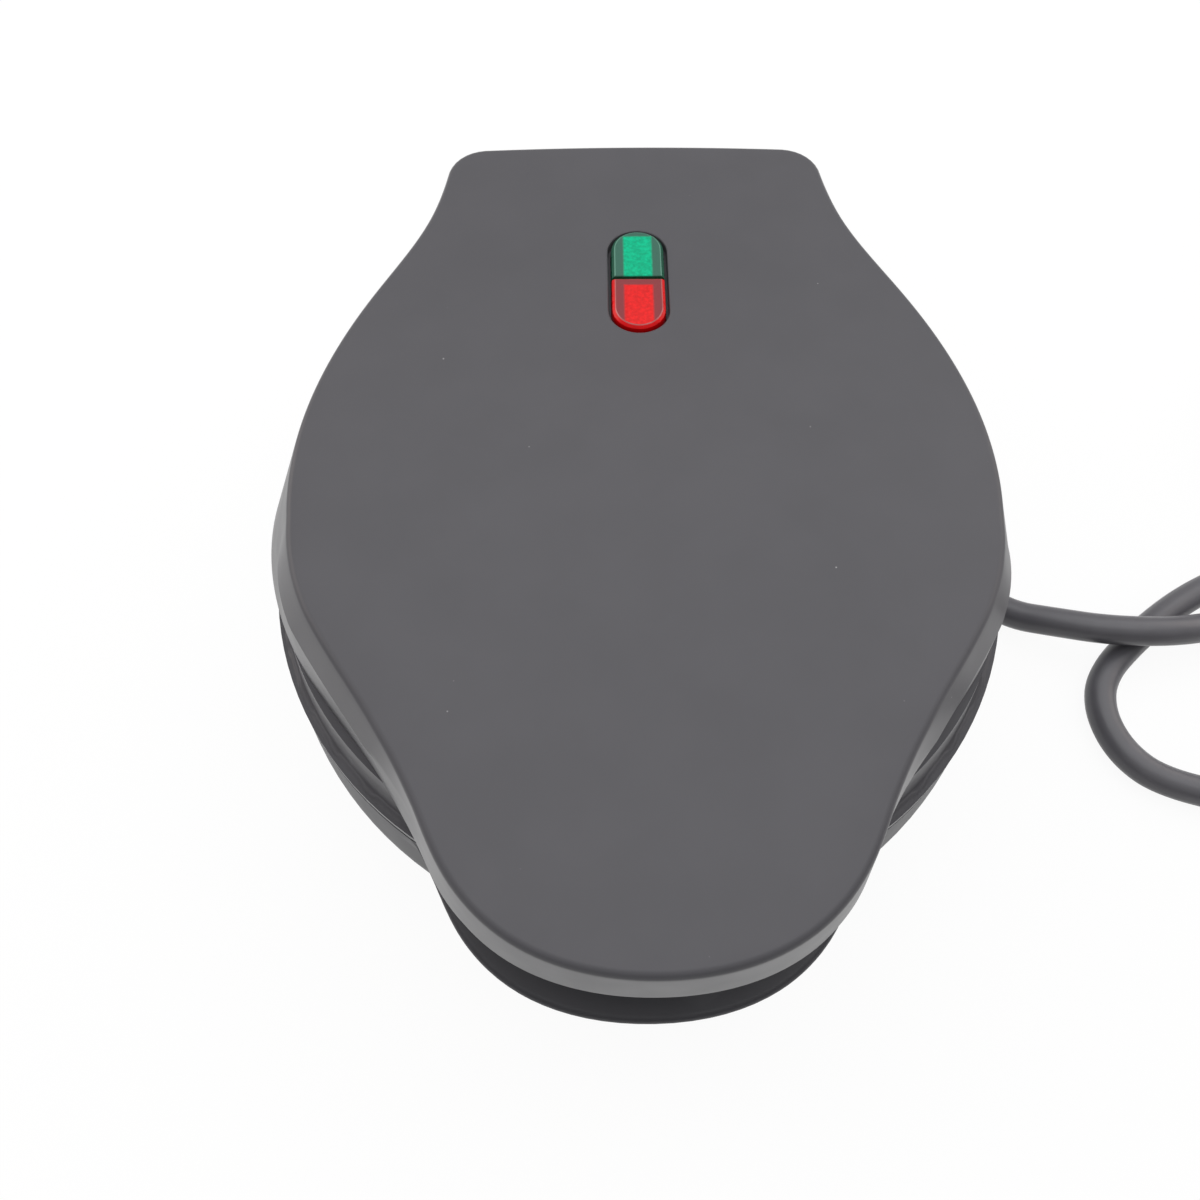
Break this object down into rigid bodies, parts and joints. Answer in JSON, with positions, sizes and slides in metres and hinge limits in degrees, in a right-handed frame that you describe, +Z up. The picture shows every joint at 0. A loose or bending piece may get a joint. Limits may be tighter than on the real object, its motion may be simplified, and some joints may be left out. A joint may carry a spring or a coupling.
{
  "type": "mini waffle maker",
  "caption": "Small round waffle maker with a pear-shaped hinged lid, a front handle tongue, pill-shaped indicator lamps and a mains lead with an earthed plug.",
  "frame": {"origin": "on the surface it stands on, below the middle of the housing's outline", "axes": "+Z up, +Y towards the hinge and the lead, -Y towards the handle tongue, +X to the right seen from the handle"},
  "size_m": [0.3241, 0.2723, 0.08],
  "materials": {
    "housing_black": "soft matt moulded surface",
    "plate_coating": "dark non-stick coating, slightly glossy",
    "heater_steel": "heat-tinted tube",
    "pressed_steel": "plain pressed sheet",
    "screw_steel": "bright zinc",
    "pin_steel": "ground",
    "green_window": "clear green, polished",
    "red_window": "clear red, polished",
    "lamp_glass": "clear",
    "holder_white": "heat-resistant moulding",
    "sleeving": "woven sleeve",
    "foot_rubber": "matt",
    "lead_black": "smooth, faint sheen",
    "tie_black": "smooth",
    "plug_metal": "nickel plated"
  },
  "bodies": {
    "base": {"base_housing": "housing_black", "base_cover": "housing_black", "base_cover_screws": "screw_steel", "rubber_feet": "foot_rubber", "lower_plate": "plate_coating", "lower_element": "heater_steel", "lower_shield": "pressed_steel", "lower_plate_screws": "screw_steel", "terminal_block": "holder_white", "inner_cord": "lead_black", "cord_clamp": "holder_white", "cord_clamp_screws": "screw_steel", "base_loom": "sleeving", "base_wires": "sleeving", "strain_relief": "lead_black", "power_cord": "lead_black", "cord_coil": "lead_black", "cord_tail": "lead_black", "cord_tie": "tie_black", "plug_body": "lead_black", "plug_pins": "plug_metal", "plug_earth_clips": "plug_metal"},
    "lid": {"lid_cover": "housing_black", "lid_frame": "housing_black", "lid_screws": "screw_steel", "upper_plate": "plate_coating", "upper_element": "heater_steel", "upper_shield": "pressed_steel", "upper_plate_screws": "screw_steel", "thermostat": "pressed_steel", "thermal_fuse": "screw_steel", "green_lens": "green_window", "red_lens": "red_window", "lamp_holder": "holder_white", "lamp_holder_screws": "screw_steel", "green_lamp": "lamp_glass", "red_lamp": "lamp_glass", "lid_loom": "sleeving", "lid_wires": "sleeving", "hinge_pins": "pin_steel"}
  },
  "joints": [
    {"name": "lid_hinge", "type": "hinge", "parent": "base", "child": "lid", "pos_m": [0, 0.0835, 0.046], "axis": [-1, 0, 0], "range_deg": [0, 100]}
  ]
}
